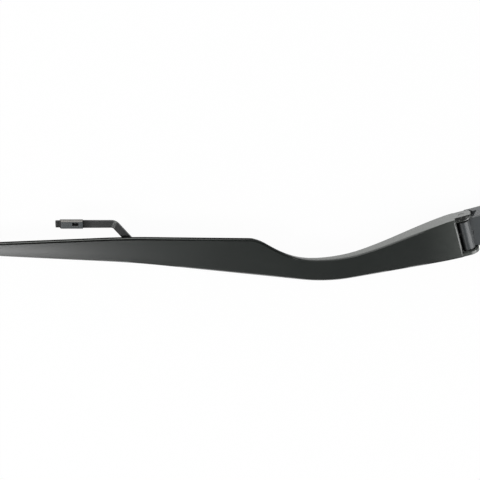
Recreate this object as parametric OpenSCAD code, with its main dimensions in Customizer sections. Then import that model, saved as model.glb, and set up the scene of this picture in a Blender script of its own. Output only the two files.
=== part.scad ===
// Windscreen wiper arm: a die-cast channel arm with a trailing fin, hinged on a
// mounting head, held down by a tension spring and a C-shaped link, and ending
// in a cranked steel strip that carries the connector for the blade.
// Millimetres. +Z points away from the glass, the arm runs towards -X and the
// origin is on the spindle axis, where the taper meets the parallel bore.

/* [Arm outline] */
// Distance from the hinge axis to the tip of the arm
reach = 530; // [470:1:600]
// Width across the hinge ears
ear_span = 41.1; // [38:0.1:44]
// Width of the neck, the narrowest place
neck_w = 23.5; // [20:0.1:26]
// Width of the fin at its shoulder
fin_w = 42.7; // [36:0.1:46]
// Width of the arm at its tip
tip_w = 8; // [7:0.1:12]
// Distance from the hinge axis to the near end of the neck
neck_start = 113; // [105:1:125]
// Length of the neck
neck_len = 44; // [36:1:48]
// Length of the sloping shoulder between neck and fin
shoulder_len = 44; // [40:1:52]
// Angle of the trailing edge along the heel
heel_angle = 4.9; // [3.5:0.1:6]
// Angle of the trailing edge along the fin
fin_angle = 21.9; // [20:0.1:23.5]
// Angle of the trailing edge near the tip
tip_angle = 18.6; // [17:0.1:20]
// How far the tip lies below the crest at the hinge
tip_drop = 8; // [5:0.1:11]

/* [Arm casting] */
// Thickness of the web
web_t = 2.4; // [2:0.1:3]
// Thickness of the side walls
wall_t = 2.2; // [1.8:0.1:2.8]
// Thickness of the hinge ears
ear_t = 3.4; // [2.8:0.1:4]
// Radius of the rounded ear ends
ear_r = 9.75; // [9.25:0.05:10.5]
// Depth of the side walls at the end of the neck
neck_depth = 5.2; // [4.6:0.1:7]
// Depth of the trailing wall along the fin
fin_depth = 8; // [7.4:0.1:9]
// Depth of the lip along the leading edge of the fin
lip_depth = 3.2; // [3:0.1:3.3]
// Width of the ledge outside the groove of the lip
lip_w = 3; // [2.6:0.1:3.6]
// Depth of the groove behind the lip
groove_depth = 0.9; // [0.6:0.05:1.1]
// Height of the crown of the face
crown = 0.5; // [0.2:0.1:1]
// Distance between the ribs under the fin
rib_pitch = 28; // [24:1:34]

/* [Hinge and head] */
// Distance from the spindle axis to the hinge axis
hinge_dist = 62; // [58:1:70]
// Height of the hinge axis above the underside of the head
hinge_height = 12; // [11.5:0.1:13]
// Diameter of the hinge pin
hinge_pin_d = 6; // [5.6:0.1:6.4]
// Radius of the knuckle barrel
barrel_r = 6.5; // [6.3:0.1:7]
// Thickness of the flange on each hinge bush
flange_t = 1.2; // [0.9:0.1:1.6]
// Side play between a bush flange and its ear
side_play = 0.25; // [0.15:0.05:0.4]
// Radius of the spindle boss
boss_r = 18; // [17:0.5:20]
// Height of the spindle boss above its underside
boss_h = 22; // [20:0.5:24]
// Radius of the parallel spindle bore
spindle_r = 4.25; // [4:0.05:4.6]
// Length of the parallel spindle bore
spindle_len = 5; // [4.5:0.5:6]
// Length of the spindle taper below it
taper_len = 8; // [7:0.5:8.5]
// Radius of the recess for the spindle nut
recess_r = 12.5; // [11.5:0.1:13.5]

/* [Spring and link] */
// Distance of the link pin behind the hinge axis
link_back = 2.5; // [2:0.1:3]
// Distance of the link pin below the hinge axis
link_down = 9; // [8.8:0.1:9.2]
// Diameter of the link pin
link_pin_d = 5; // [4.6:0.1:5.2]
// Thickness of the link plate
link_t = 3; // [2.5:0.1:3.4]
// Width of the band round the open side of the link
band_w = 3.6; // [3.2:0.1:4]
// Distance from the link pin to the eye that takes the spring
link_len = 36; // [34:0.5:40]
// Distance from the hinge axis to the spring's anchor in the arm
anchor_dist = 84; // [80:0.5:90]
// Height of the anchor above the hinge axis
anchor_rise = 0.5; // [0:0.1:0.8]
// Diameter of the spring wire
wire_d = 1.8; // [1.6:0.1:2]
// Outer diameter of the spring
spring_d = 9.5; // [9:0.1:9.8]
// Distance between neighbouring coils
spring_pitch = 2.15; // [2.1:0.05:2.3]

/* [Blade strip] */
// Width of the strip
strip_w = 7.6; // [7:0.1:8.2]
// Thickness of the strip
strip_t = 3; // [2.6:0.1:3.3]
// Distance from the hinge axis to the inner end of the strip
strip_start = 259; // [250:1:272]
// Distance from the hinge axis to the bend under the fin
bend_at = 319.8; // [315:0.1:330]
// Length of the slanting part of the strip
crank_len = 34.7; // [28:0.1:38]
// Angle of the slanting part to the arm's long axis
crank_angle = 66; // [62:0.5:74]
// Length of the outer part of the strip
tail_len = 58.5; // [52:0.5:66]
// Angle of the outer part, which is the line of the blade
blade_angle = 16; // [13:0.5:19]
// Length of the connector sleeve
sleeve_len = 23; // [20:0.5:25]
// Width of the connector sleeve
sleeve_w = 8.6; // [8.4:0.1:9.4]
// Height of the connector sleeve
sleeve_h = 4.6; // [4.4:0.1:6]
// Length of the tongue that stands out of the sleeve
tongue_len = 4.2; // [3:0.2:6]
// Length of the latch window
window_len = 6.4; // [6:0.2:8]
// Width of the latch window
window_w = 3.6; // [2.8:0.1:3.8]

/* [Hidden] */
$fn = 64;

paint = [0.10, 0.11, 0.11];
casting = [0.13, 0.14, 0.14];
steel = [0.55, 0.56, 0.58];
plastic = [0.09, 0.10, 0.12];
overcut = 1;                       // how far a cutting shape runs past a face
press_gap = 0.02;                  // radial gap of a pin that is held fast
running_gap = 0.05;                // radial gap of a pin that turns
seat_gap = 0.3;                    // gap where parts on two bodies come together

// Heights and places along the spindle axis
base_z = -taper_len;
boss_top = base_z + boss_h;
nut_seat = spindle_len;

// The hinge frame: its origin is on the hinge axis, between the ears
hinge_z = base_z + hinge_height;
module at_hinge() translate([-hinge_dist, 0, hinge_z]) children();

function total(v, i = 0) = i < len(v) ? v[i] + total(v, i + 1) : 0;
function ease(t) = let(c = min(1, max(0, t))) c * c * (3 - 2 * c);
function unit(v) = v / norm(v);

// A polyline through knots, with its corners rounded by a running mean
smooth_steps = 6;
function rounded(knots, s, window) =
    total([for (i = [-smooth_steps:smooth_steps]) lookup(s + window * i / smooth_steps, knots)])
    / (2 * smooth_steps + 1);

// Outline of the arm by the distance s from the hinge axis
web_start = 7.4;                   // where the web ends, short of the knuckle
heel_end = 25;                     // where the trailing edge starts to slope
neck_part = 33;                    // how much of the neck keeps the heel's slope
sweep_len = 179;                   // length of the fin's steeper part
sweep_start = neck_start + neck_part;
sweep_end = sweep_start + sweep_len;
shoulder_at = neck_start + neck_len + shoulder_len;
edge_1 = (sweep_start - heel_end) * tan(heel_angle) - ear_span / 2;
edge_2 = edge_1 + (sweep_end - sweep_start) * tan(fin_angle);
edge_knots = [[-reach, -ear_span / 2], [heel_end, -ear_span / 2], [sweep_start, edge_1],
              [sweep_end, edge_2], [2 * reach, edge_2 + (2 * reach - sweep_end) * tan(tip_angle)]];
fin_taper = (fin_w - tip_w) / (reach - shoulder_at);
ear_run = 12;                      // distance over which the sides keep parallel
flare = 1.92;                      // how late the shoulder widens: 1 is a straight slope
hip_wave = 0.7;                    // how far the sides between hinge and neck swing out and in
fin_waist = 0.45;                  // how far the leading edge of the fin is drawn in at its middle
steps = [0:0.125:0.875];
width_knots = [[-reach, ear_span],
    for (t = steps) [ear_run + t * (neck_start - ear_run),
                     ear_span + t * (neck_w - ear_span) + hip_wave * sin(360 * t)],
    [neck_start, neck_w],
    for (t = steps) [shoulder_at + (t - 1) * shoulder_len, neck_w + (fin_w - neck_w) * pow(t, flare)],
    for (t = steps) [shoulder_at + t * (reach - shoulder_at),
                     fin_w + t * (tip_w - fin_w) - 4 * fin_waist * t * (1 - t)],
    [2 * reach, tip_w - fin_taper * reach]];
nose_len = 7;                      // length of the rounded tip
function nose(s) = sqrt(max(0.02, 1 - pow(max(0, s - reach + nose_len) / nose_len, 2)));
function trailing(s) = rounded(edge_knots, s, 22) + (1 - nose(s)) * tip_w / 2;
function width(s) = rounded(width_knots, s, 7) * nose(s);
function leading(s) = trailing(s) + width(s);
function middle(s) = (trailing(s) + leading(s)) / 2;
function crest(s) = ear_r - tip_drop * pow(max(0, s) / reach, 1.5);

// Depth of the walls, the draft of their sides and the rounding of their edges
ear_h = 2 * ear_r;
depth_start = 13;                  // where the walls start to get shallower
lip_start = neck_start + neck_len;
lip_run = 34;                      // length over which the lip forms
function lip(s) = ease((s - lip_start) / lip_run);
function heel_depth(s) = rounded([[-reach, ear_h], [depth_start, ear_h],
    [lip_start, neck_depth], [2 * reach, neck_depth]], s, 6);
function trailing_depth(s) = heel_depth(s) + (fin_depth - neck_depth) * lip(s);
function leading_depth(s) = heel_depth(s) + (lip_depth - neck_depth) * lip(s);
draft = 0.035;                     // sideways run of the walls for each unit of depth
lip_lean = 0.45;                   // the same for the lip, whose outside leans in under the face
function wall_draft(s) = draft * ease((s - web_start) / 30);
function lip_draft(s) = wall_draft(s) - (draft + lip_lean) * lip(s);
edge_r = 1.5;                      // rounding of the long edges
function edge_round(s) = 0.3 + (edge_r - 0.3) * ease((s - web_start) / 40);
end_bevel = 1.1;                   // bevel across the hinge end of the web
function end_drop(s) = end_bevel * (1 - ease((s - web_start) / end_bevel));

// Section of the outside, from the foot of the trailing wall over the face to
// the foot of the leading wall, with groove and bead where there is a lip
bead_drop = 0.3;
function outer_section(s) =
    let(a = trailing(s), b = leading(s), w = b - a, z = crest(s) - end_drop(s), c = edge_round(s),
        k = lip(s), n = min(1, w / tip_w), ledge = lip_w * n, d = wall_draft(s),
        tail_h = trailing_depth(s) - end_drop(s), lead_h = leading_depth(s) - end_drop(s))
    [[a - d * tail_h, z - tail_h], [a, z - c], [a + 0.3 * c * n, z - 0.3 * c],
     for (t = [0.06, 0.28, 0.5, 0.72]) [a + w * t, z + crown * n * 4 * t * (1 - t)],
     for (q = [[1, 0], [0.85, groove_depth], [0.62, groove_depth], [0.46, bead_drop]])
         let(y = b - q[0] * ledge, t = (y - a) / w) [y, z + crown * n * 4 * t * (1 - t) - k * n * q[1]],
     [b - 0.3 * c * n, z - k * n * bead_drop - 0.3 * c], [b, z - k * n * bead_drop - c],
     [b + lip_draft(s) * (lead_h - c), z - lead_h]];

// Section of the hollow under the web
hollow_r = 0.8;
lip_wall = 3.3;                    // thickness of the wall behind the lip
function hollow_section(s) =
    let(a = trailing(s) + wall_t, z = crest(s) - web_t,
        b = leading(s) - wall_t - (lip_wall - wall_t) * lip(s),
        foot = z - ear_h - overcut, d = wall_draft(s) * (z - foot))
    [[a - d, foot], [a, z - hollow_r], [a + hollow_r, z],
     [b - hollow_r, z], [b, z - hollow_r], [b + d, foot]];

// Solid between sections that all have as many points, at the distances in list s
module loft(s, sections) {
    n = len(sections[0]);
    last = len(s) - 1;
    points = [for (i = [0:last]) for (p = sections[i]) [-s[i], p[0], p[1]]];
    sides = [for (i = [0:last - 1]) for (j = [0:n - 1])
        let(a = i * n + j, b = i * n + (j + 1) % n)
        for (tri = [[a, b + n, b], [a, a + n, b + n]]) tri];
    near_end = [for (j = [0:n - 1]) j];
    far_end = [for (j = [n - 1:-1:0]) last * n + j];
    polyhedron(points, concat(sides, [near_end, far_end]));
}

function spaced(a, b, pitch) = let(n = ceil((b - a) / pitch)) [for (i = [0:n - 1]) a + (b - a) * i / n];
shoulder_done = shoulder_at + 12;
outer_stations = concat([web_start, web_start + end_bevel / 2], spaced(web_start + end_bevel, lip_start, 8),
    spaced(lip_start, shoulder_done, 3), spaced(shoulder_done, reach - nose_len, 12),
    spaced(reach - nose_len, reach, 1.2), [reach]);
hollow_end = reach - nose_len - wall_t;
hollow_stations = concat(spaced(web_start - overcut, lip_start, 10),
    spaced(lip_start, shoulder_done, 4), spaced(shoulder_done, hollow_end, 16), [hollow_end]);

// Blade strip: its middle line, in the plane of the arm
lip_slant = (fin_depth - lip_depth) * lip_wall / width(bend_at);
strip_top = crest(bend_at + strip_w) - lip_depth - lip_slant - seat_gap;
strip_slope = (middle(bend_at) - middle(strip_start)) / (bend_at - strip_start);
strip_p0 = [-strip_start, middle(strip_start)];
strip_p1 = [-bend_at, middle(bend_at)];
strip_p2 = strip_p1 + crank_len * [-cos(crank_angle), sin(crank_angle)];
blade_dir = [-cos(blade_angle), sin(blade_angle)];
strip_p3 = strip_p2 + tail_len * blade_dir;
bend_r = 6.5;                      // radius of the bends at the middle of the strip
root_dir = unit(strip_p1 - strip_p0);
root_angle = atan2(root_dir[1], root_dir[0]);

// Places of the rivets, from the inner end of the strip
rivet_front_at = 9;
rivet_rear_at = 41;
rivet_r = 2;
rivet_head_r = 3.4;
rivet_head_h = 1.3;
rivet_depth = 2.8;                 // how far a shank stands in the casting
pad_w = strip_w + 1.4;

// Link pin, anchor and the line of the spring, seen along the hinge axis
link_at = [link_back, -link_down];
anchor_at = [-anchor_dist, anchor_rise];
pull = unit(anchor_at - link_at);
pull_tilt = atan2(pull[1], -pull[0]);
hinge_gap = norm(link_at);
link_pin_r = link_pin_d / 2;
lift = 80;                         // how far the arm lifts
link_turn = 73.5;                  // how far the link turns meanwhile
slot_w = link_t + 1.2;
spring_eye_r = 2;
anchor_pin_r = 2;
knuckle_half = ear_span / 2 - ear_t - flange_t - side_play;
pin_r = hinge_pin_d / 2;
bush_r = pin_r + running_gap + 1.3;
cheek_half = 9;                    // half length of the link pin and of its cheeks

// Upright disc or profile that runs along the hinge axis, from y0 to y1
module along_y(y0, y1) translate([0, y1, 0]) rotate([90, 0, 0]) linear_extrude(y1 - y0) children();
module y_rod(r, y0, y1) translate([0, y1, 0]) rotate([90, 0, 0]) cylinder(h = y1 - y0, r = r);

module rounded_plate(x0, x1, y0, y1, r) {
    translate([x0 + r, y0]) square([x1 - x0 - 2 * r, y1 - y0]);
    translate([x0, y0 + r]) square([x1 - x0, y1 - y0 - 2 * r]);
    for (x = [x0 + r, x1 - r], y = [y0 + r, y1 - r]) translate([x, y]) circle(r);
}

// Mounting head: die-cast, with knuckle, spindle boss and nut recess
shoulder_half = ear_span / 2 - 0.85;
ear_corner = 6.5;                  // radius of the lower front corner of an ear
ear_room = 1.6;                    // room round the ends of the ears
ear_reach = ear_r - ear_corner + ear_corner / sqrt(2); // height and run of an ear's lower front corner
pocket_r = ear_reach * sqrt(2) + ear_room;
pocket_from = 11;                  // where the slanting end of the pocket for an ear meets the knuckle
pocket_end = 16.2;                 // where it meets the outside
block_top = hinge_z + 1;
shoulder_top = block_top - 5;      // where the side of a shoulder turns into its bevel
bevel_run = shoulder_half - knuckle_half + 0.4;
ramp_from = 18;                    // from the hinge axis to the foot of the ramp up to the boss
edge_cut = 1;                      // chamfer along the upper edges of the block and shoulders
stop_top = crest(web_start) - web_t - seat_gap;
core_wall = 3.4;
module mount_head() color(casting) difference() {
    union() {
        at_hinge() {
            y_rod(barrel_r, -knuckle_half, knuckle_half);
            for (side = [0, 1]) mirror([0, side, 0]) {
                translate([link_at[0], 0, link_at[1]]) y_rod(link_pin_r + 2.6, slot_w / 2, cheek_half);
                along_y(slot_w / 2, slot_w / 2 + stop_w) stop_nose();
            }
        }
        chamfered_block() polygon([[-hinge_dist, base_z], [ramp_from - hinge_dist, base_z],
            [ramp_from - hinge_dist, block_top], [-hinge_dist, block_top]]);
        chamfered_block() polygon([[ramp_from - hinge_dist, base_z], [0, base_z], [0, boss_top - 2],
            [-boss_r + 4, boss_top - 2], [ramp_from - hinge_dist, block_top]]);
        difference() {
            hull() {
                translate([0, 0, base_z]) linear_extrude(shoulder_top - base_z) head_plan(0);
                translate([0, 0, base_z]) linear_extrude(block_top - base_z - 0.3) head_plan(bevel_run);
            }
            at_hinge() for (side = [0, 1]) mirror([0, side, 0]) {
                y_rod(pocket_r, knuckle_half - 0.6, ear_span);
                translate([0, 0, shoulder_top - hinge_z - 0.1]) linear_extrude(boss_h)
                    polygon([[-1, knuckle_half - 0.6], [pocket_from, knuckle_half - 0.6],
                             [pocket_end, shoulder_half], [pocket_end, ear_span], [-1, ear_span]]);
            }
            translate([-hinge_dist - ear_span, -ear_span, base_z - overcut])
                cube([ear_span, 2 * ear_span, boss_h]);
        }
        translate([0, 0, base_z]) cylinder(h = boss_h - 1.5, r = boss_r);
        translate([0, 0, boss_top - 1.5]) cylinder(h = 1.5, r1 = boss_r, r2 = boss_r - 1.5);
    }
    at_hinge() {
        y_rod(bush_r + press_gap, -knuckle_half - overcut, knuckle_half + overcut);
        translate([link_at[0], 0, link_at[1]])
            y_rod(link_pin_r + press_gap, -cheek_half - overcut, cheek_half + overcut);
        along_y(-slot_w / 2, slot_w / 2) link_slot();
    }
    translate([0, 0, base_z - overcut]) cylinder(h = taper_len + overcut, r1 = spindle_r + 1, r2 = spindle_r);
    translate([0, 0, -overcut]) cylinder(h = spindle_len + 2 * overcut, r = spindle_r);
    translate([0, 0, nut_seat]) cylinder(h = boss_h, r = recess_r);
    translate([0, 0, base_z - overcut]) linear_extrude(block_top - core_wall - base_z + overcut)
        rounded_plate(-hinge_dist + 17, -boss_r - 1, -knuckle_half + core_wall, knuckle_half - core_wall, 3);
}

// Nose under the end of the web, in front of the knuckle, that the web comes down on
stop_w = knuckle_half - slot_w / 2;
stop_from = web_start + 2.2;
module stop_nose() polygon([[2, -8], [-7, -7.5], [-stop_from - 4, stop_top - 4], [-stop_from - 4, stop_top],
    [-stop_from, stop_top], [-5.5, 1], [2, 1]]);

// Block of the knuckle's width over a convex profile, with chamfered upper edges
module chamfered_block() intersection() {
    hull() {
        along_y(-knuckle_half + edge_cut, knuckle_half - edge_cut) children();
        along_y(-knuckle_half, knuckle_half) translate([0, -edge_cut]) children();
    }
    translate([-hinge_dist, -ear_span, base_z]) cube([hinge_dist, 2 * ear_span, boss_h]);
}

// Plan of the shoulders, as wide as the ears at the knuckle and as the boss at the spindle
shoulder_run = 24;                 // length over which the shoulders keep their width
module head_plan(inset) {
    half = shoulder_half - inset;
    r = boss_r - inset;
    polygon([[-hinge_dist, -half], [shoulder_run - hinge_dist, -half], [0, -r], [0, r],
             [shoulder_run - hinge_dist, half], [-hinge_dist, half]]);
    circle(r);
}

// Room for the link: all below a line just under the hinge pin and in front of the barrel
roof_gap = 1;                      // distance of that line below the hinge axis
module link_slot() difference() {
    translate([-40, -40]) square([40 + link_back + link_pin_r + 3.1, 80]);
    intersection() {
        circle(barrel_r);
        rotate(atan2(link_back, link_down)) translate([-20, -roof_gap]) square([40, 20]);
    }
    rotate(atan2(link_back, link_down)) translate([0, -roof_gap]) square([20, 20]);
}

// Plug over the spindle nut: a shallow moulded cap that is pushed into the recess
cap_skirt = 2.2;
module nut_cap() color(plastic) translate([0, 0, boss_top]) rotate_extrude() polygon([[0, 1.1],
    [recess_r - 2.2, 0.4], [recess_r - 2.2, -cap_skirt], [recess_r - 0.15, -cap_skirt],
    [recess_r - 0.15, 0], [recess_r + 2, 0], [recess_r + 2, 0.8], [recess_r + 0.6, 1.6],
    [recess_r / 2, 2.4], [0, 2.6]]);

// Flanged bush that lines one end of the knuckle
module knuckle_bush(side) color(plastic) at_hinge() mirror([0, side, 0]) difference() {
    union() {
        y_rod(barrel_r - 0.3, knuckle_half, knuckle_half + flange_t);
        y_rod(bush_r, slot_w / 2 + 1, knuckle_half);
    }
    y_rod(pin_r + running_gap, 0, ear_span / 2);
}

// Cross pin in the head that the link turns on
module link_pin() color(steel) at_hinge() translate([link_at[0], 0, link_at[1]])
    y_rod(link_pin_r, -cheek_half, cheek_half);

// C-shaped link, drawn along its line of pull from the link pin and then tilted
band_gap = 0.4;
band_inner = barrel_r + band_gap;
lifted_at = atan2(link_down, link_back) - pull_tilt - link_turn;
band_centre = hinge_gap * [cos(lifted_at), sin(lifted_at)];
limb_w = 4.8;
limb_from = band_centre[0] + band_inner;
module link_plan() difference() {
    union() {
        circle(link_pin_r + 2.1);
        translate(band_centre) difference() {
            circle(band_inner + band_w);
            translate([-30, 0]) square([60, 30]);
        }
        translate([limb_from, band_centre[1] - 0.5]) square([band_w, limb_w / 2 - band_centre[1] + 0.5]);
        translate([limb_from, -limb_w / 2]) square([link_len - limb_from, limb_w]);
        translate([link_len, 0]) circle(spring_eye_r + 1.8);
    }
    circle(link_pin_r + running_gap);
    translate([link_len, 0]) circle(spring_eye_r);
    intersection() {
        translate(band_centre) circle(band_inner);
        translate([link_pin_r + 3.4, -20]) square([30, 20]);
    }
}
module spring_link() color(steel) at_hinge() translate([link_at[0], 0, link_at[1]])
    rotate([0, pull_tilt, 0]) mirror([1, 0, 0]) along_y(-link_t / 2, link_t / 2) link_plan();

// Tension spring: one wire, swept round a flat hook, the coils and an upright hook
coil_r = (spring_d - wire_d) / 2;
front_hook_r = 3.4;                // lies flat and passes through the eye of the link
front_seat = 0.4;                  // how far the wire lies off the middle of that eye
rear_hook_r = anchor_pin_r + wire_d / 2 + seat_gap;
spring_span = norm(anchor_at - link_at) - link_len;
hook_run = 2.6;                    // run of the wire from a hook to the nearest coil
lead_turn = 1 / 6;                 // part of a turn that the wire makes on that run
body_start = front_seat + front_hook_r + hook_run;
coil_count = floor((spring_span - body_start - hook_run - rear_hook_r) / spring_pitch);
coil_turns = coil_count + 1 / 4 - 2 * lead_turn;
body_end = body_start + coil_turns * spring_pitch;
coil_steps = 14;
wire_sides = 6;
function ring_point(u, t, r = coil_r) = [u, r * cos(360 * t), r * sin(360 * t)];
wire_path = concat(
    [for (a = [-150:20:90]) [front_seat, 0, 0] + front_hook_r * [1 - cos(a), sin(a), 0]],
    [for (x = [0.25:0.25:0.75]) ring_point(body_start + (x - 1) * hook_run, lead_turn * x * x)],
    [for (i = [0:floor(coil_turns * coil_steps)]) let(t = i / coil_steps)
        ring_point(body_start + spring_pitch * t, lead_turn + t)],
    [for (x = [0.25:0.25:1]) ring_point(body_end + x * hook_run,
        1 / 4 - lead_turn * (1 - x) * (1 - x), coil_r + x * (rear_hook_r - coil_r))],
    [for (b = [90:-20:-150]) [spring_span, 0, 0] + rear_hook_r * [cos(b), 0, sin(b)]]);
module tension_spring() color(steel) at_hinge() translate([link_at[0], 0, link_at[1]])
    rotate([0, pull_tilt, 0]) mirror([1, 0, 0]) translate([link_len, 0, 0]) wire(wire_path);

// Round wire along a path; each ring of points is carried on from the one before
module wire(path) {
    last = len(path) - 1;
    function along(i) = unit(path[min(last, i + 1)] - path[max(0, i - 1)]);
    function squared(u, i) = unit(u - (u * along(i)) * along(i));
    across = [for (i = 0, u = squared([0, 0, 1], 0); i <= last; i = i + 1, u = squared(u, min(i, last))) u];
    points = [for (i = [0:last]) let(u = across[i], v = cross(along(i), u))
        for (k = [0:wire_sides - 1]) let(g = 360 * k / wire_sides)
            path[i] + wire_d / 2 * (cos(g) * u + sin(g) * v)];
    sides = [for (i = [0:last - 1]) for (k = [0:wire_sides - 1])
        let(a = i * wire_sides + k, b = i * wire_sides + (k + 1) % wire_sides)
        for (tri = [[a, b + wire_sides, b], [a, a + wire_sides, b + wire_sides]]) tri];
    polyhedron(points, concat(sides, [[for (k = [0:wire_sides - 1]) k],
        [for (k = [wire_sides - 1:-1:0]) last * wire_sides + k]]));
}

// Arm: one aluminium casting, a channel whose web and walls vary along its length
module arm_channel() color(paint) at_hinge() difference() {
    union() {
        difference() {
            loft(outer_stations, [for (s = outer_stations) outer_section(s)]);
            loft(hollow_stations, [for (s = hollow_stations) hollow_section(s)]);
        }
        for (side = [0, 1]) ear(side);
        for (side = [0, 1]) mirror([0, side, 0]) anchor_cheek();
        strip_pad();
        for (s = [shoulder_at + 10:rib_pitch:strip_start - 12]) rib(s);
        for (s = [bend_at + 26:rib_pitch:reach - 40]) rib(s);
    }
    y_rod(pin_r + press_gap, -ear_span, ear_span);
    rotate([90, 0, -90]) translate([0, 0, -2 * ear_r]) linear_extrude(2 * ear_r + web_start)
        polygon([[-ear_span / 2 - 1, bevel_from], [-ear_span / 2 + ear_inset, bevel_from],
                 [bevel_w - ear_span / 2, ear_r], [bevel_w - ear_span / 2, 2 * ear_r],
                 [-ear_span / 2 - 1, 2 * ear_r]]);
    translate([anchor_at[0], 0, anchor_at[1]]) y_rod(anchor_pin_r + press_gap, -cheek_half, cheek_half);
    for (d = [rivet_front_at, rivet_rear_at]) at_rivet(d)
        translate([0, 0, strip_top - overcut]) cylinder(h = rivet_depth + overcut, r = rivet_r + press_gap);
}

// Ear: rounded plate with a chamfered rim that carries the hinge pin, and the pad
// inside the wall behind it
ear_inset = 0.1;
ear_rim = 0.5;
bevel_from = 4.9;                  // height over the axis at which the leading ear's bevel starts
bevel_w = 3;                       // width of that bevel, which takes the place of the top's edge
ear_pad_t = 1.6;
ear_pad_end = 26;
module ear_plan(inset) offset(delta = -inset) {
    circle(ear_r);
    rounded_plate(-ear_corner, ear_r, -ear_r, ear_corner, ear_corner);
}
module ear(side) {
    outer = ear_span / 2 - ear_inset;
    inner = ear_span / 2 - ear_t;
    mirror([0, side, 0]) {
        hull() {
            along_y(inner, outer - ear_rim) ear_plan(0);
            along_y(inner, outer) ear_plan(ear_rim);
        }
        rotate([90, 0, -90]) linear_extrude(web_start + 1.6) polygon([[-inner, -ear_r], [-inner, ear_r],
            [-outer + ear_rim, ear_r], [-outer, ear_r - ear_rim], [-outer, ear_rim - ear_r],
            [-outer + ear_rim, -ear_r]]);
        along_y(inner, inner + ear_pad_t)
            translate([-ear_pad_end, -ear_r + 2]) square([ear_pad_end - web_start, 2 * ear_r - 3]);
    }
}

// Cheek under the web that holds one end of the anchor pin
cheek_gap = wire_d / 2 + 0.6;
cheek_t = 3;
module anchor_cheek() translate([anchor_at[0], 0, anchor_at[1]])
    along_y(cheek_gap, cheek_gap + cheek_t) {
        circle(anchor_pin_r + 2);
        translate([-anchor_pin_r - 2, 0])
            square([2 * anchor_pin_r + 4, crest(anchor_dist) - anchor_rise - web_t / 2]);
    }

// Pad between the web and the strip
module at_rivet(d) translate([strip_p0[0] + root_dir[0] * d, strip_p0[1] + root_dir[1] * d, 0]) children();
module strip_pad() translate([strip_p0[0], strip_p0[1], strip_top]) rotate([0, 0, root_angle])
    translate([-2, -pad_w / 2, 0])
        cube([rivet_rear_at + 8, pad_w, crest(strip_start) - web_t / 2 - strip_top - 1]);

// Low rib across the underside of the fin
rib_t = 1.6;
rib_h = 2.4;
module rib(s) translate([-s - rib_t / 2, trailing(s) + wall_t / 2, crest(s) - web_t - rib_h])
    cube([rib_t, width(s) - wall_t / 2 - lip_w, rib_h + web_t / 2]);

// Hinge pin, riveted flush with the ears
module hinge_pin() color(steel) at_hinge() y_rod(pin_r, -ear_span / 2 + 0.3, ear_span / 2 - 0.3);

// Pin in the arm that the spring hooks on
module anchor_pin() color(steel) at_hinge() translate([anchor_at[0], 0, anchor_at[1]])
    y_rod(anchor_pin_r, -cheek_gap - cheek_t - 0.1, cheek_gap + cheek_t + 0.1);

// Outline of a bar of width w along a line of points, with arcs of radius r at its bends
function turn_at(p, i) = let(a = unit(p[i] - p[i - 1]), b = unit(p[i + 1] - p[i])) atan2(cross(a, b), a * b);
function bend_arc(p, i, r, off) =
    let(a = unit(p[i] - p[i - 1]), turn = turn_at(p, i), side = sign(turn), back = r * tan(abs(turn) / 2),
        start = p[i] - back * a, left = [-a[1], a[0]], centre = start + side * r * left,
        from = atan2(-side * left[1], -side * left[0]))
    [for (k = [0:8]) let(g = from + turn * k / 8) centre + (r - side * off) * [cos(g), sin(g)]];
function beside(point, heading, off) = point + off * [-heading[1], heading[0]];
function bar_edge(p, r, off) = let(last = len(p) - 1) concat([beside(p[0], unit(p[1] - p[0]), off)],
    [for (i = [1:last - 1]) for (q = bend_arc(p, i, r, off)) q],
    [beside(p[last], unit(p[last] - p[last - 1]), off)]);
function reversed(v) = [for (i = [len(v) - 1:-1:0]) v[i]];

// Cranked flat bar riveted under the fin; its end is narrowed to take the sleeve
shank_w = 7;                       // width of the narrowed end
shank_len = tongue_len + sleeve_len;
strip_path = [strip_p0, strip_p1, strip_p2, strip_p3];
module blade_strip() color(paint) at_hinge() translate([0, 0, strip_top - strip_t]) difference() {
    linear_extrude(strip_t) difference() {
        polygon(concat(bar_edge(strip_path, bend_r, strip_w / 2),
            reversed(bar_edge(strip_path, bend_r, -strip_w / 2))));
        at_strip_end() for (side = [-1, 1]) translate([-overcut, side * (shank_w / 2 + 5) - 5])
            square([shank_len + overcut, 10]);
        at_strip_end() translate([tongue_len + window_from, window_side - window_w / 2])
            square([window_len, window_w]);
    }
    for (d = [rivet_front_at, rivet_rear_at]) at_rivet(d)
        translate([0, 0, -overcut]) cylinder(h = strip_t + 2 * overcut, r = rivet_r + press_gap);
}
module at_strip_end() translate(strip_p3) rotate(-blade_angle) children();

// Rivet whose shank stands in the casting and whose domed head holds the strip
module strip_rivet(d) color(steel) at_hinge() at_rivet(d) translate([0, 0, strip_top]) {
    translate([0, 0, -strip_t]) cylinder(h = strip_t + rivet_depth - 0.2, r = rivet_r);
    translate([0, 0, -strip_t]) rotate_extrude() polygon([[0, 0], [rivet_head_r, 0], [rivet_head_r, -0.4],
        [rivet_head_r - 0.9, -rivet_head_h + 0.2], [rivet_head_r - 1.8, -rivet_head_h], [0, -rivet_head_h]]);
}

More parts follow.
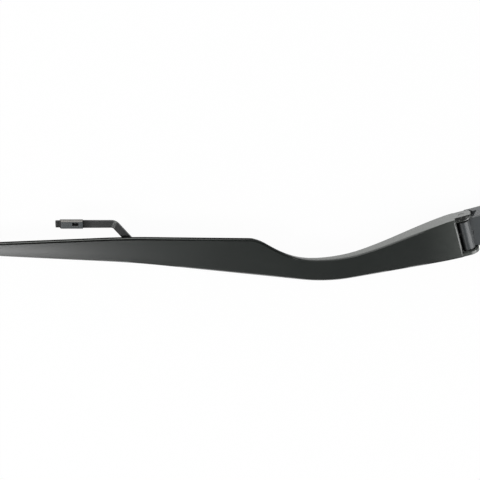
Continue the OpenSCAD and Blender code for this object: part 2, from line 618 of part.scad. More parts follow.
// Connector: a sleeve on the narrowed end of the strip, with a latch window in its top
window_from = 12.5;                // from the outer end of the sleeve to the window
window_side = 0.5;                 // how far the window lies towards the outer side
sleeve_above = 0.9;                // height of the sleeve's top above the strip
step_w = 1.6;                      // width of the low step along the sleeve's inner side
step_depth = 0.4;
module blade_connector() color(plastic) at_hinge()
    translate([strip_p3[0], strip_p3[1], strip_top + sleeve_above - sleeve_h]) rotate([0, 0, -blade_angle])
    translate([tongue_len, 0, 0]) difference() {
        along_y(-sleeve_w / 2, sleeve_w / 2)
            polygon([[0, 0], [sleeve_len, 0], [sleeve_len, sleeve_h], [1.8, sleeve_h], [0, sleeve_h - 2.2]]);
        translate([-overcut, -shank_w / 2 - 0.05, sleeve_h - sleeve_above - strip_t - 0.05])
            cube([sleeve_len + 2 * overcut, shank_w + 0.1, strip_t + 0.1]);
        translate([window_from, window_side - window_w / 2, sleeve_h - sleeve_above - strip_t])
            cube([window_len, window_w, sleeve_h]);
        translate([-overcut, -sleeve_w / 2 - overcut, sleeve_h - step_depth])
            cube([sleeve_len + 2 * overcut, step_w + overcut, step_depth + overcut]);
    }

mount_head();
nut_cap();
knuckle_bush(0);  // knuckle_bush_left
knuckle_bush(1);  // knuckle_bush_right
link_pin();
spring_link();
tension_spring();
arm_channel();
hinge_pin();
anchor_pin();
blade_strip();
strip_rivet(rivet_rear_at);  // strip_rivet_front
strip_rivet(rivet_front_at);  // strip_rivet_rear
blade_connector();
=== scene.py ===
# One windscreen wiper arm: mounting head, hinge with its link and spring, cast arm
# with a trailing fin, and the cranked bar that carries the blade's connector.
import math

import bmesh
import bpy
from mathutils import Matrix, Vector


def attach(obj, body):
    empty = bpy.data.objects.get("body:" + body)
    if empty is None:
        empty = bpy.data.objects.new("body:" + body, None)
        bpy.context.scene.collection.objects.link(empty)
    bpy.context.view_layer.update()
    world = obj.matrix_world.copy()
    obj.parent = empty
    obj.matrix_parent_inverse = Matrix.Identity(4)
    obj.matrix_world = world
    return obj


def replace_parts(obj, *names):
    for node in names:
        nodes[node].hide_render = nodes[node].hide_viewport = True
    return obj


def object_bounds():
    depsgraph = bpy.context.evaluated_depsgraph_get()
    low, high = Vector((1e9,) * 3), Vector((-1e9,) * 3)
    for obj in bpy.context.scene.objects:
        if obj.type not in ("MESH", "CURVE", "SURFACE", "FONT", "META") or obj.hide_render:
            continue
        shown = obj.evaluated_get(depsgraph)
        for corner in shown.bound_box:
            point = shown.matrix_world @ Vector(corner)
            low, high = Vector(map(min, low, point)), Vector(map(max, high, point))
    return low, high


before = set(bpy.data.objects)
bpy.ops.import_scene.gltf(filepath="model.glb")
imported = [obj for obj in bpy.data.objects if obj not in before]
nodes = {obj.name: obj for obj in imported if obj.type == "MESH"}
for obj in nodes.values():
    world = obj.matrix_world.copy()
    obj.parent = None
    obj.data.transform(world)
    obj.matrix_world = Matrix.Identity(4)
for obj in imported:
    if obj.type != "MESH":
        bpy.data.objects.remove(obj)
cad_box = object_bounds()
scene = bpy.context.scene
scene.view_settings.view_transform = "Standard"

# Mounting head: an aluminium die casting with the spindle boss, the knuckle and a
# pocket for each ear. It is deburred, its edges are rounded and it is painted satin
# black; the paint is paler and a little duller here than on the arm, and its paler
# tone is painted light.


class Value:
    """A socket that can stand in a plain expression."""
    def __init__(self, shader, socket):
        self.shader, self.socket = shader, socket

    def math(self, operation, other=None, swap=False):
        node = self.shader.tree.nodes.new("ShaderNodeMath")
        node.operation = operation
        for place, value in enumerate((other, self) if swap else (self, other)):
            if value is not None:
                self.shader.feed(node.inputs[place], value)
        return Value(self.shader, node.outputs[0])

    def __add__(self, other): return self.math("ADD", other)
    __radd__ = __add__
    def __mul__(self, other): return self.math("MULTIPLY", other)
    __rmul__ = __mul__
    def __sub__(self, other): return self.math("SUBTRACT", other)
    def __rsub__(self, other): return self.math("SUBTRACT", other, swap=True)
    def __pow__(self, other): return self.math("POWER", other)
    def max(self, other): return self.math("MAXIMUM", other)
    def between(self, low, high):
        """0 below low, 1 above high and a straight rise between them."""
        return ((self - low) * (1 / (high - low))).max(0).math("MINIMUM", 1)


class Shader:
    """A material's nodes; add() makes any of them."""
    def __init__(self, name):
        self.material = bpy.data.materials.new(name)
        self.material.use_nodes = True
        self.tree = self.material.node_tree
        self.tree.nodes.clear()

    def feed(self, socket, value):
        if isinstance(value, Value):
            self.tree.links.new(value.socket, socket)
        else:
            socket.default_value = value

    def add(self, kind, settings={}, output=0, **values):
        node = self.tree.nodes.new("ShaderNode" + kind)
        for name, value in settings.items():
            setattr(node, name, value)
        for name, value in values.items():
            place = int(name[1:]) if name[0] == "_" else name.replace("_", " ")
            self.feed(node.inputs[place], value)
        return Value(self, node.outputs[output])

    def other(self, value, output):
        return Value(self, value.socket.node.outputs[output])

    def where(self):
        """A place on the piece: along the arm, across it and upwards."""
        place = self.add("SeparateXYZ", _0=self.add("TexCoord", output=3))
        return place, self.other(place, "Y"), self.other(place, "Z")

    def facing(self, direction):
        """1 where the surface faces a direction and 0 where it lies along it."""
        return self.add("VectorMath", {"operation": "DOT_PRODUCT"}, output=1, _0=self.add("NewGeometry", output=1),
                        _1=tuple(direction))

    def noise(self, scale, detail=3, stretch=(1, 1, 1)):
        place = self.add("Mapping", Vector=self.add("TexCoord", output=3), Scale=stretch)
        return self.add("TexNoise", Vector=place, Scale=scale, Detail=detail)

    def tint(self, share, under, over):
        """A mix of two colours, either of which may be a mix itself."""
        under, over = (tone if isinstance(tone, Value) else (*tone, 1) for tone in (under, over))
        return self.add("Mix", {"data_type": "RGBA"}, output=2, _0=share, _6=under, _7=over)

    def bump(self, height, strength, distance, under=None):
        more = {"Normal": under} if under else {}
        return self.add("Bump", Strength=strength, Distance=distance, Height=height, **more)

    def edges(self, radius):
        """0 on flat places and more along rounded and sharp edges."""
        soft = self.add("Bevel", {"samples": 4}, Radius=radius)
        flat = self.add("NewGeometry", output=1)
        return 1 - self.add("VectorMath", {"operation": "DOT_PRODUCT"}, output=1, _0=soft, _1=flat)

    def finish(self, surface):
        out = self.tree.nodes.new("ShaderNodeOutputMaterial")
        self.tree.links.new(surface.socket, out.inputs["Surface"])
        return self.material


def satin_paint(name, colour, roughness, coat=0.0, peel=0.00004, grain_height=0.00002, patches=(),
                relief=None, painted_light_share=None):
    """Stoved paint on a casting: slow changes of tone and sheen, orange peel, a fine
    grain, and paler, smoother edges where hands and tools have rubbed. Each patch
    gives its share at a place and the surface that it has instead; relief adds to the
    grain's normal, and the last argument gives the share of a pale tone that is painted light."""
    s = Shader(name)
    cloud, mottle = s.noise(11, 4, (0.4, 1, 1)), s.noise(160, 3)
    rub = s.edges(0.0006).between(0.004, 0.05) * (0.35 + 0.9 * s.noise(240, 4))
    tone = s.tint(cloud.between(0.3, 0.7), [c * 0.86 for c in colour], [c * 1.14 for c in colour])
    tone = s.tint(rub * 0.5, tone, [c * 1.6 + 0.012 for c in colour])
    # Painted light: a pale tone laid over the paint where the light falls brightest.
    if painted_light_share:
        tone = s.tint(painted_light_share(s) * (0.75 + 0.5 * mottle), tone, (0.085, 0.094, 0.085))
    normal = s.bump(s.noise(520, 2), 0.5, peel)
    normal = s.bump(s.noise(2600, 2), 0.4, grain_height, normal)
    if relief:
        normal = relief(s, normal)
    surface = s.add("BsdfPrincipled", Base_Color=tone, Normal=normal, Coat_Roughness=roughness * 0.7,
                    Coat_Weight=coat, Roughness=roughness + (cloud - 0.5) * 0.10 + (mottle - 0.5) * 0.06 - rub * 0.08)
    for patch in patches:
        share, other = patch(s)
        surface = s.add("MixShader", _0=share, _1=surface, _2=other)
    return s.finish(surface)


def painted_shade_black(s):
    """A near-black matt surface that lays painted shade where the patches put it."""
    painted_dark = s.tint(s.noise(350, 3).between(0.3, 0.7), (0.003, 0.003, 0.003), (0.007, 0.007, 0.006))
    return s.add("BsdfPrincipled", Base_Color=painted_dark, Roughness=0.75 + 0.15 * s.noise(800, 2),
                 Specular_IOR_Level=0.08, Normal=s.bump(s.noise(500, 3), 0.4, 0.00005))


def painted_shade_knuckle(s):
    """Painted shade on the front of the knuckle, on the noses before it and
    round its ends, where it lies in shadow between the web and the ears."""
    along, across, _ = s.where()
    front = (0.7 + 0.3 * s.noise(300, 3)) * (1 - along.between(-0.0675, -0.0618))
    end = across.between(0.0134, 0.0142) * (1 - along.between(-0.0560, -0.0552))
    return front.max(end), painted_shade_black(s)


def knurled_bore(s):
    """Bare metal inside the spindle bore, with the fine teeth that grip the taper."""
    along, across, up = s.where()
    radius = (along ** 2 + across ** 2) ** 0.5
    teeth = 60
    tooth = (across.math("ARCTAN2", along) * teeth).math("SINE")
    depth = tooth * (1 - (up + 0.0005).between(0, 0.001))
    tone = s.tint(s.noise(900, 3).between(0.3, 0.7), (0.42, 0.42, 0.43), (0.58, 0.58, 0.59))
    metal = s.add("BsdfPrincipled", Base_Color=tone, Metallic=1.0, Normal=s.bump(depth, 0.7, 0.00012),
                  Roughness=0.30 + 0.12 * s.noise(700, 2, (1, 1, 4)))
    return 1 - radius.between(0.0052, 0.0054), metal


def smooth_copy(node, name, body, material, rounding=0.0, angle=40, flat=1.0, soft=()):
    """A node's shape as a maker would leave it: its edges rounded, smooth to look at.
    soft lists tests that pick edges by their upper and side faces and by a place on
    them, each with the width and the number of facets that rounds them. All the other
    edges get the rounding, or as little as the tightest place on the mesh allows."""
    mesh = nodes[node].data.copy()
    piece = bpy.data.objects.new(name, mesh)
    scene.collection.objects.link(piece)
    bpy.ops.object.select_all(action="DESELECT")
    piece.select_set(True)
    bpy.context.view_layer.objects.active = piece
    bpy.ops.object.mode_set(mode="EDIT")
    bpy.ops.mesh.select_all(action="SELECT")
    bpy.ops.mesh.remove_doubles(threshold=0.00001)
    if flat:
        bpy.ops.mesh.dissolve_limited(angle_limit=math.radians(flat))
    for chosen, width, facets in soft:
        bpy.ops.mesh.select_all(action="DESELECT")
        shape = bmesh.from_edit_mesh(mesh)
        for edge in shape.edges:
            if len(edge.link_faces) == 2:
                upper, beside = sorted(edge.link_faces, key=lambda face: -face.normal.z)
                if chosen(upper.normal, beside.normal, edge.verts[0].co):
                    edge.select_set(True)
        bmesh.update_edit_mesh(mesh)
        bpy.ops.mesh.bevel(offset=width, segments=facets, affect="EDGES", clamp_overlap=False)
    bpy.ops.object.mode_set(mode="OBJECT")
    if rounding:
        bevel = piece.modifiers.new("rounding", "BEVEL")
        bevel.width = rounding
        bevel.segments = 2
        bevel.limit_method = "ANGLE"
        bevel.angle_limit = math.radians(angle)
        bevel.use_clamp_overlap = True
        bpy.ops.object.modifier_apply(modifier=bevel.name)
    bpy.ops.object.shade_smooth_by_angle(angle=math.radians(max(angle, 40)))
    if rounding:
        flats = piece.modifiers.new("flats", "WEIGHTED_NORMAL")
        flats.keep_sharp = True
        bpy.ops.object.modifier_apply(modifier=flats.name)
    mesh.materials.clear()
    mesh.materials.append(material)
    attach(piece, body)
    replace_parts(piece, node)


# The head's paint carries painted shade on the front and ends of the knuckle.
head_paint = satin_paint("head_paint", (0.048, 0.054, 0.057), 0.42, coat=0.5,
                         patches=(knurled_bore, painted_shade_knuckle))
smooth_copy("mount_head", "head_casting", "head", head_paint, rounding=0.0004)

# Cap over the spindle nut: moulded in black polypropylene with a fine eroded grain,
# pushed into the recess of the boss by its skirt.


def moulded(name, colour, roughness, grain=1800, grain_height=0.00003, painted_highlight_share=None):
    """Moulded plastic: even colour, an eroded grain, a little shine where it is rubbed;
    the last argument gives the share of a pale tone that is a painted highlight."""
    s = Shader(name)
    flow, pits = s.noise(45, 3, (0.5, 1, 1)), s.noise(grain, 2)
    rub = s.edges(0.0004).between(0.01, 0.08) * (0.3 + 0.9 * s.noise(300, 3))
    tone = s.tint(flow.between(0.3, 0.7), [c * 0.88 for c in colour], [c * 1.12 for c in colour])
    tone = s.tint(rub * 0.4, tone, [c * 1.5 + 0.01 for c in colour])
    # Painted highlight: a pale tone where the light catches the piece.
    if painted_highlight_share:
        tone = s.tint(painted_highlight_share(s) * (0.7 + 0.6 * pits), tone, (0.160, 0.152, 0.136))
    surface = s.add("BsdfPrincipled", Base_Color=tone, Normal=s.bump(pits, 0.5, grain_height),
                    Roughness=roughness + (flow - 0.5) * 0.12 + (pits - 0.5) * 0.10 - rub * 0.12)
    return s.finish(surface)


cap_plastic = moulded("cap_polypropylene", (0.012, 0.0125, 0.013), 0.52)
smooth_copy("nut_cap", "spindle_nut_cap", "head", cap_plastic, rounding=0.0002, angle=30)

# Knuckle bushes: two flanged bushes of black acetal, pressed into the knuckle, that
# keep the ears off the casting and carry the hinge pin.
bush_plastic = moulded("bush_acetal", (0.010, 0.0105, 0.011), 0.32, grain=2600, grain_height=0.00001)
for side in ("left", "right"):
    smooth_copy("knuckle_bush_" + side, side + "_knuckle_bush", "head", bush_plastic,
                rounding=0.0002, angle=30)

# Pins: cold-drawn steel, the rims of their ends a little rounded. The hinge pin is
# riveted just below the ears' outsides before painting, so its ends are painted too;
# the pale tone of that paint is painted light.


def drawn_steel(name, colour, roughness, stretch=(1, 1, 1), painted_from=None):
    """Bright steel with drawing lines; farther out than painted_from it is painted, in a
    pale tone that is painted light.
    """
    s = Shader(name)
    lines, cloud = s.noise(1400, 3, stretch), s.noise(90, 4)
    tone = s.tint(cloud.between(0.3, 0.7), [c * 0.82 for c in colour], colour)
    surface = s.add("BsdfPrincipled", Base_Color=tone, Metallic=1.0, Normal=s.bump(lines, 0.35, 0.00001),
                    Roughness=roughness + (lines - 0.5) * 0.16 + (cloud - 0.5) * 0.14)
    if painted_from:
        out = s.where()[1].math("ABSOLUTE")
        # Painted light: the ends' paint is pale like the lit wall round them.
        paint = s.add("BsdfPrincipled", Base_Color=s.tint(cloud, (0.068, 0.075, 0.068), (0.086, 0.095, 0.086)),
                      Roughness=0.36 + (cloud - 0.5) * 0.12, Normal=s.bump(s.noise(520, 2), 0.5, 0.00004),
                      Coat_Weight=1.0, Coat_Roughness=0.25)
        surface = s.add("MixShader", _0=out.between(painted_from, painted_from + 0.0002), _1=surface, _2=paint)
    return s.finish(surface)


steel_grey, drawn_along_y = (0.56, 0.56, 0.57), (1, 0.08, 1)
hinge_steel = drawn_steel("hinge_pin_steel", steel_grey, 0.26, drawn_along_y, painted_from=0.0195)
smooth_copy("hinge_pin", "riveted_hinge_pin", "arm", hinge_steel, rounding=0.0003, angle=30)
bright_steel = drawn_steel("bright_pin_steel", steel_grey, 0.26, drawn_along_y)
smooth_copy("link_pin", "link_cross_pin", "head", bright_steel, rounding=0.0003, angle=30)
smooth_copy("anchor_pin", "spring_anchor_pin", "arm", bright_steel, rounding=0.0003, angle=30)

# Spring link: blanked from 3 mm strip steel, its edges rolled over by the punch, then
# phosphated nearly black; the band round its open side keeps clear of the knuckle.
phosphate = drawn_steel("phosphated_plate", (0.060, 0.061, 0.063), 0.42, (0.3, 1, 1))
smooth_copy("spring_link", "blanked_link", "link", phosphate, rounding=0.00035, angle=30)

# Tension spring: coiled from 1.8 mm spring wire with an upright hook round the anchor
# pin; black phosphate under oil. The flat hook goes through the link's eye and follows
# it, and its shank slides out of the coil by what the spring stretches.
wire_radius, coil_radius, coil_pitch = 0.0009, 0.00385, 0.00215
front_hook, rear_hook = 0.0034, 0.0032                # radii of the hooks
front_seat = 0.0004                                   # from the end of the link to the hook's inner side
hook_run, lead_turn = 0.0026, 1 / 6                   # length and turn of the wire between hook and coil
shank_side, shank_bend, shank_run = 0.0019, 0.0004, 0.0085
link_place, anchor_place, link_reach = Vector((-0.0595, -0.005)), Vector((-0.146, 0.0045)), 0.036
pull = anchor_place - link_place
pull_tilt = math.atan2(pull.y, -pull.x)
span = pull.length - link_reach
coil_start = front_seat + front_hook + hook_run
turns = math.floor((span - coil_start - hook_run - rear_hook) / coil_pitch) + 1 / 4 - 2 * lead_turn
coil_end = coil_start + turns * coil_pitch
turn_steps, lead_steps = 28, 8                        # straight bits in a turn and in a lead


def on_coil(along, turn, radius=coil_radius):
    return along, radius * math.cos(math.tau * turn), radius * math.sin(math.tau * turn)


hook_line = []
for a in range(-150, 91, 10):
    a = math.radians(a)
    hook_line.append((front_seat + front_hook * (1 - math.cos(a)), front_hook * math.sin(a), 0))
hook_line += [(coil_start + shank_bend, shank_side, 0), (coil_start + shank_run, shank_side, 0)]
coil_line = []
for share in (i / lead_steps for i in range(1, lead_steps)):
    coil_line.append(on_coil(coil_start + (share - 1) * hook_run, lead_turn * share ** 2))
for turn in (i / turn_steps for i in range(int(turns * turn_steps) + 1)):
    coil_line.append(on_coil(coil_start + coil_pitch * turn, lead_turn + turn))
for share in (i / lead_steps for i in range(1, lead_steps + 1)):
    coil_line.append(on_coil(coil_end + share * hook_run, 1 / 4 - lead_turn * (1 - share) ** 2,
                             coil_radius + share * (rear_hook - coil_radius)))
for a in range(80, -151, -10):
    a = math.radians(a)
    coil_line.append((span + rear_hook * math.cos(a), 0, rear_hook * math.sin(a)))

s = Shader("phosphated_wire")
crystals, oil = s.noise(2400, 3), s.noise(60, 3)
tone = s.tint(crystals.between(0.3, 0.7), (0.040, 0.041, 0.043), (0.075, 0.076, 0.078))
phosphated_wire = s.finish(s.add(
    "BsdfPrincipled", Base_Color=tone, Metallic=0.7, Normal=s.bump(crystals, 0.4, 0.00001),
    Roughness=0.40 + (crystals - 0.5) * 0.15 - oil.between(0.4, 0.8) * 0.12,
    Coat_Weight=0.2 + 0.3 * oil, Coat_Roughness=0.15))


def bent_wire(name, path, body):
    """Wire along a path, whose points are given along the pull from the link's end,
    across the arm and square to both."""
    bpy.ops.object.select_all(action="DESELECT")
    bpy.ops.curve.primitive_nurbs_path_add(location=(0, 0, 0))
    piece = bpy.context.object
    piece.name = name
    piece.data.splines.clear()
    wire = piece.data.splines.new("POLY")
    wire.points.add(len(path) - 1)
    for point, (along, across, upward) in zip(wire.points, path):
        back = -(along + link_reach)
        point.co = (link_place.x + back * math.cos(pull_tilt) + upward * math.sin(pull_tilt), across,
                    link_place.y - back * math.sin(pull_tilt) + upward * math.cos(pull_tilt), 1)
    piece.data.bevel_depth = wire_radius
    piece.data.bevel_resolution = 3
    piece.data.use_fill_caps = True
    bpy.ops.object.convert(target="MESH")
    bpy.ops.object.shade_smooth_by_angle(angle=math.radians(50))
    piece.data.materials.clear()
    piece.data.materials.append(phosphated_wire)
    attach(piece, body)
    return piece


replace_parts(bent_wire("coiled_spring", coil_line, "spring"), "tension_spring")
bent_wire("spring_hook", hook_line, "link")

# Arm: one aluminium die casting with a satin black finish. The edge along the fin is
# a rounded bead with a fine groove behind it; the face is slightly crowned.


def leading_edge(s):
    """How far inside the leading edge a place lies, and how far out from the hinge. The
    edge is the trailing edge, which bends once, plus the width of the arm there."""
    hinge_at, neck_end, shoulder_run, shoulder_end, fin_run = -0.062, 0.157, 0.044, 0.201, 0.329
    slope, foot, bend_at, bend_run, slope_lost = 0.402, 0.06887, 0.325, 0.022, 0.0655
    neck_width, widening, flare, taper, waist = 0.0235, 0.0192, 1.92, 0.0347, 0.0018
    along, across, _ = s.where()
    out = hinge_at - along
    past_bend = out - bend_at
    rounding = (bend_run - past_bend.math("ABSOLUTE")).max(0)
    trailing = out * slope - foot - past_bend.max(0) * slope_lost - rounding ** 2 * (slope_lost / (4 * bend_run))
    shoulder = ((out - neck_end) * (1 / shoulder_run)).max(0.0001).math("MINIMUM", 1)
    fin = ((out - shoulder_end) * (1 / fin_run)).max(0)
    width = neck_width + widening * shoulder ** flare - fin * taper - fin * (1 - fin) * waist
    return trailing + width - across, out


# Where one painted band gives way to the next across the bead (painted shade on the
# outer half of the crown and in the groove, painted light on the inner half), measured
# in from its outer edge, and where the bead begins, measured out from the hinge.
mid_crown, groove_side, face_side = (0.0008, 0.00105), (0.0016, 0.0019), (0.0030, 0.0032)
bead_begins = (0.165, 0.190)


def painted_shade_groove(s):
    """Painted shade in the groove behind the bead, on the lip's outer side and on the
    outer half of its crown."""
    inside, out = leading_edge(s)
    groove = inside.between(*groove_side) * (1 - inside.between(*face_side)) * out.between(*bead_begins)
    groove = groove * (0.25 + 0.60 * out.between(0.25, 0.30))
    painted_dark = (1 - inside.between(*mid_crown)) * out.between(0.165, 0.205) * 0.92
    return groove.max(painted_dark), painted_shade_black(s)


def painted_shade_ear(s):
    """Painted shade on the bevel round the end of the ear, left thin in spots."""
    outward = s.facing((0, 1, 0))
    bevel = outward.between(0.60, 0.75) * (1 - outward.between(0.88, 0.93))
    near = 1 - leading_edge(s)[1].between(0.014, 0.022)
    return bevel * near * (0.85 - 0.6 * s.noise(450, 2).between(0.54, 0.62)), painted_shade_black(s)


def painted_light_on_arm(s):
    """Painted light: a paler tone on the wall on the blade's side, on the face by the
    hinge, and on the inner half of the bead's crown."""
    inside, out = leading_edge(s)
    lit_wall = s.facing((0, 1, 0)).between(0.88, 0.98)
    crown = inside.between(*mid_crown) * (1 - inside.between(*groove_side)) * out.between(0.20, 0.32)
    lit_hinge_end = (1 - out.between(0.002, 0.053)) ** 2
    return (lit_wall * 0.95).max(crown * 1.3).max(lit_hinge_end * 0.5)


def trailing_edge(upper, beside, place):
    """The long edge of the face away from the blade, short of the ear and of the tip."""
    return upper.z > 0.93 and beside.y < -0.8 and 0.2 < beside.z < 0.7 and -0.54 < place.x < -0.112


def web_end(upper, beside, place):
    """The edge where the web ends before the knuckle, between the ears."""
    return (upper.z > 0.97 and beside.x > 0.4 and beside.z > 0.3
            and place.x > -0.0715 and abs(place.y) < 0.0185)


# The arm's paint carries painted shade in the groove, on the lip and on the ear's bevel, and painted light on the
# wall on the blade's side, by the hinge and on the bead.
arm_paint = satin_paint("arm_paint", (0.0050, 0.0078, 0.0063), 0.35, coat=1.0, patches=(painted_shade_groove, painted_shade_ear),
                        painted_light_share=painted_light_on_arm)
# The casting's tight places leave its general rounding almost no width.
smooth_copy("arm_channel", "arm_casting", "arm", arm_paint, rounding=0.0002, angle=22, flat=0,
            soft=[(trailing_edge, 0.0011, 3), (web_end, 0.0008, 3)])

# Ejector marks: the shallow round prints that the pins of the die leave on the
# underside of the web.
mark_radius, mark_rim, mark_depth = 0.0024, 0.00025, 0.00008
mark_height, mark_stands = 0.001, 0.00015             # of all of it, and of what shows below the web
marks = []
for x, y, web_at in ((-0.162, -0.0015, 0.01069), (-0.196, 0.0006, 0.01033), (-0.287, 0.0416, 0.00914),
                     (-0.450, 0.0943, 0.00634), (-0.506, 0.1102, 0.00522)):
    bpy.ops.object.select_all(action="DESELECT")
    bpy.ops.mesh.primitive_cylinder_add(vertices=40, radius=mark_radius, depth=mark_height,
                                        location=(x, y, web_at + mark_height / 2 - mark_stands))
    bpy.ops.object.mode_set(mode="EDIT")
    shape = bmesh.from_edit_mesh(bpy.context.object.data)
    for face in shape.faces:
        face.select_set(face.normal.z < -0.9)
    bmesh.update_edit_mesh(bpy.context.object.data)
    bpy.ops.mesh.inset(thickness=mark_rim)
    bpy.ops.transform.translate(value=(0, 0, mark_depth))
    bpy.ops.object.mode_set(mode="OBJECT")
    marks.append(bpy.context.object)
for mark in marks:
    mark.select_set(True)
bpy.ops.object.join()
bpy.ops.object.transform_apply(location=True, rotation=True, scale=True)
marks = bpy.context.object
marks.name = "ejector_marks"
marks.data.materials.append(arm_paint)
bpy.ops.object.shade_smooth_by_angle(angle=math.radians(30))
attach(marks, "arm")

# Blade strip: a bar of flat steel, bent cold to its crank and narrowed at the end
# for the connector; stoved black like the arm, but thinner and duller.
strip_turn = math.radians(16)
sleeve_foot = Vector((-0.42600, 0.11466, 0))          # where the sleeve's inner end lies
outer_side = Vector((math.sin(strip_turn), math.cos(strip_turn), 0))
inner_side = Vector((-0.62, -0.78, 0))                # between those of the bar's two parts
crank = Vector((-0.39591, 0.10603, 0))                # the middle of the outer bend
across_bend = Vector((-0.754, 0.657, 0))
slant_side = Vector((-0.914, -0.407, 0))              # the inner side of the slanting part


def distance(s, start, direction):
    """How far a place lies from a start along a level direction."""
    along, across, _ = s.where()
    return (along - start.x) * direction.x + (across - start.y) * direction.y


def painted_shade_inner_edge(s):
    """Painted shade on the rolled edge on the inner side of the bar: from the sleeve to
    the bend and on down the slanting part."""
    inward = distance(s, sleeve_foot, -outer_side).math("MINIMUM", distance(s, crank, slant_side))
    return 0.95 * inward.between(0.0025, 0.0030), painted_shade_black(s)


def painted_shadow_by_sleeve(s):
    """Painted shadow on the bar where it leaves the sleeve, and the end of the bar that
    stands out of the sleeve made darker."""
    out = distance(s, sleeve_foot, Vector((math.cos(strip_turn), -math.sin(strip_turn), 0)))
    root = (1 - out.between(0, 0.010)) * out.between(-0.001, 0)
    tongue = (0.9 - (1 - out.between(-0.0265, -0.0225)) * 0.6) * (1 - out.between(-0.0231, -0.0229))
    return (root + tongue) * (0.6 + 0.5 * s.noise(300, 3)).math("MINIMUM", 1), painted_shade_black(s)


def creased_bend(s, normal):
    """The crease that the bending tool leaves across the bend of the bar."""
    crease = distance(s, crank, across_bend)
    return s.bump(1 - crease.between(-0.0015, 0.0015), 1.0, 0.0008, normal)


def painted_highlight_bend(s):
    """A painted highlight along the crease across the bend, in broken patches."""
    crease = distance(s, crank, across_bend).math("ABSOLUTE")
    return (1 - crease.between(0.0008, 0.0020)) * s.noise(330, 3).between(0.42, 0.58) * 0.9


def bar_inner_edge(upper, beside, place):
    """The upper edge along the inner side of both parts of the bar."""
    return upper.z > 0.9 and abs(beside.z) < 0.2 and beside.dot(inner_side) > 0.5


# The bar's paint carries painted shade along its inner edge and by the sleeve, and a painted highlight along the
# crease of the bend.
strip_paint = satin_paint("strip_paint", (0.0070, 0.0082, 0.0084), 0.42, coat=0.05, peel=0.00003,
                          patches=(painted_shade_inner_edge, painted_shadow_by_sleeve), relief=creased_bend, painted_light_share=painted_highlight_bend)
smooth_copy("blade_strip", "cranked_strip", "arm", strip_paint, rounding=0.0003, angle=30,
            soft=[(bar_inner_edge, 0.0013, 3)])

# Strip rivets: two domed steel rivets set from below through the strip into the pad
# of the casting, painted over with the arm.
rivet_paint = satin_paint("rivet_paint", (0.014, 0.015, 0.015), 0.40, coat=0.6, peel=0.00006)
for place in ("front", "rear"):
    smooth_copy("strip_rivet_" + place, place + "_strip_rivet", "arm", rivet_paint,
                rounding=0.0002, angle=25)

# Connector: a sleeve of dark grey glass-filled nylon, moulded with a latch window and
# snapped over the narrowed end of the strip.


def painted_highlight_chamfer(s):
    """A painted highlight on the sleeve's outer chamfer, and a weaker one on the side
    below it.
    """
    outward = s.facing(outer_side)
    return outward.between(0.35, 0.60) * (1 - 0.6 * outward.between(0.80, 0.95))


def sleeve_outer_edge(upper, beside, place):
    """The upper edge along the sleeve's outer side, which is chamfered."""
    return upper.z > 0.9 and beside.dot(outer_side) > 0.9 and (place - sleeve_foot).dot(outer_side) > 0.004


# The sleeve's chamfer carries a painted highlight.
connector_nylon = moulded("connector_nylon", (0.040, 0.047, 0.050), 0.36, grain=1400, grain_height=0.00002,
                          painted_highlight_share=painted_highlight_chamfer)
smooth_copy("blade_connector", "blade_sleeve", "arm", connector_nylon,
            rounding=0.00025, angle=30, soft=[(sleeve_outer_edge, 0.0013, 1)])

# Floor: a sheet of white paper. Camera and mirror rays see it as nearly plain white,
# and what the lamps make of it keeps the object's soft shadow.
s = Shader("floor_paper")
rays = s.add("LightPath")
seen = rays.max(s.other(rays, "Is Glossy Ray")).max(s.other(rays, "Is Transmission Ray"))
paper = s.add("BsdfDiffuse", Color=(0.82, 0.82, 0.82, 1))
plain = s.add("Emission", Color=(1, 1, 1, 1), Strength=1.0)
floor_shadow = 0.04                # share of the floor's look that the lamps make
bpy.ops.object.select_all(action="DESELECT")
bpy.ops.mesh.primitive_plane_add(size=6, location=(-0.28, 0.05, cad_box[0][2] - 0.0005))
floor = bpy.context.object
floor.name = "floor"
floor.data.materials.append(s.finish(s.add("MixShader", _0=seen * (1 - floor_shadow), _1=paper, _2=plain)))

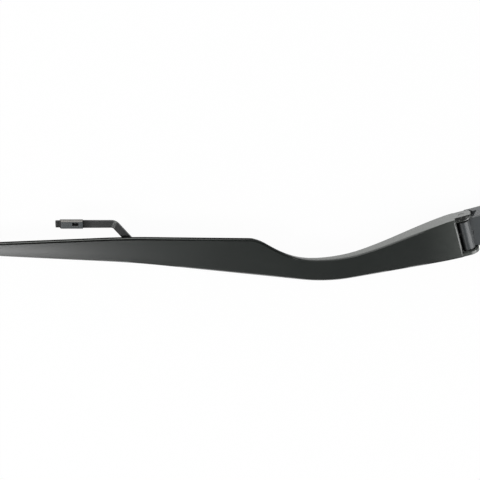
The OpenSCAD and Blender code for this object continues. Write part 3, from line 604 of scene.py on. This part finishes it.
# Studio: a dim room with six soft lamps. The left one stands beyond the tip and grades
# the face from pale at the tip to dark at the shoulder. The right one and the one above
# light the knuckle, front and back the walls and bevels on the blade's side, and the
# rim lamp the long rounded edge on the other side.
world = bpy.data.worlds.new("studio")
scene.world = world
world.use_nodes = True
room = world.node_tree
room.nodes.clear()
rays = room.nodes.new("ShaderNodeLightPath")
dim = room.nodes.new("ShaderNodeBackground")
dim.inputs["Strength"].default_value = 0.10
white = room.nodes.new("ShaderNodeBackground")
white.inputs["Strength"].default_value = 1.0
either = room.nodes.new("ShaderNodeMixShader")
sky = room.nodes.new("ShaderNodeOutputWorld")
for ground in (dim, white):
    ground.inputs["Color"].default_value = (1, 1, 1, 1)
room.links.new(rays.outputs["Is Camera Ray"], either.inputs[0])
room.links.new(dim.outputs[0], either.inputs[1])
room.links.new(white.outputs[0], either.inputs[2])
room.links.new(either.outputs[0], sky.inputs["Surface"])


def softbox(name, direction, far, size, radiance):
    """A lamp that shines on the middle of the arm from a direction, as far away as said."""
    lamp = bpy.data.lights.new(name, "AREA")
    lamp.shape = "RECTANGLE"
    lamp.size, lamp.size_y = size
    lamp.energy = radiance * math.pi * size[0] * size[1]
    holder = bpy.data.objects.new(name, lamp)
    scene.collection.objects.link(holder)
    middle = Vector((-0.28, 0.05, 0))
    away = Vector(direction).normalized()
    turn = away.to_track_quat("Z", "Y").to_matrix().to_4x4()
    holder.matrix_world = Matrix.Translation(middle + away * far) @ turn


softbox("lamp_left", (-0.64, -0.15, 0.74), 1.5, (0.85, 0.85), 5.5)
softbox("lamp_right", (0.875, -0.36, 0.324), 1.3, (0.6, 0.5), 4.0)
softbox("lamp_front", (0.1, 0.95, 0.35), 1.5, (1.6, 0.6), 4.0)
softbox("lamp_above", (1.02, -0.67, 1.20), 1.7, (1.0, 0.8), 3.6)
softbox("lamp_rim", (-0.1, -0.95, 0.28), 1.6, (2.2, 0.8), 2.3)
softbox("lamp_back", (-0.32, 0.90, 1.05), 1.4, (1.1, 0.6), 1.6)

# Camera: the arm lies level in the picture, seen from above and a little from the
# blade's side; its tip runs out of the left edge and its head out of the right one.
picture_turn = math.radians(16)
camera_tilt = math.radians(22)
camera_place = (-0.12560, 0.59502, 1.39454)
camera_data = bpy.data.cameras.new("camera")
camera_data.lens = 112.5
camera_data.sensor_width = 36
camera = bpy.data.objects.new("camera", camera_data)
scene.collection.objects.link(camera)
right = Vector((math.cos(picture_turn), -math.sin(picture_turn), 0))
level_up = Vector((math.sin(picture_turn), math.cos(picture_turn), 0))
up = level_up * math.cos(camera_tilt) - Vector((0, 0, math.sin(camera_tilt)))
turn = Matrix((right, up, right.cross(up))).transposed().to_4x4()
camera.matrix_world = Matrix.Translation(camera_place) @ turn
scene.camera = camera
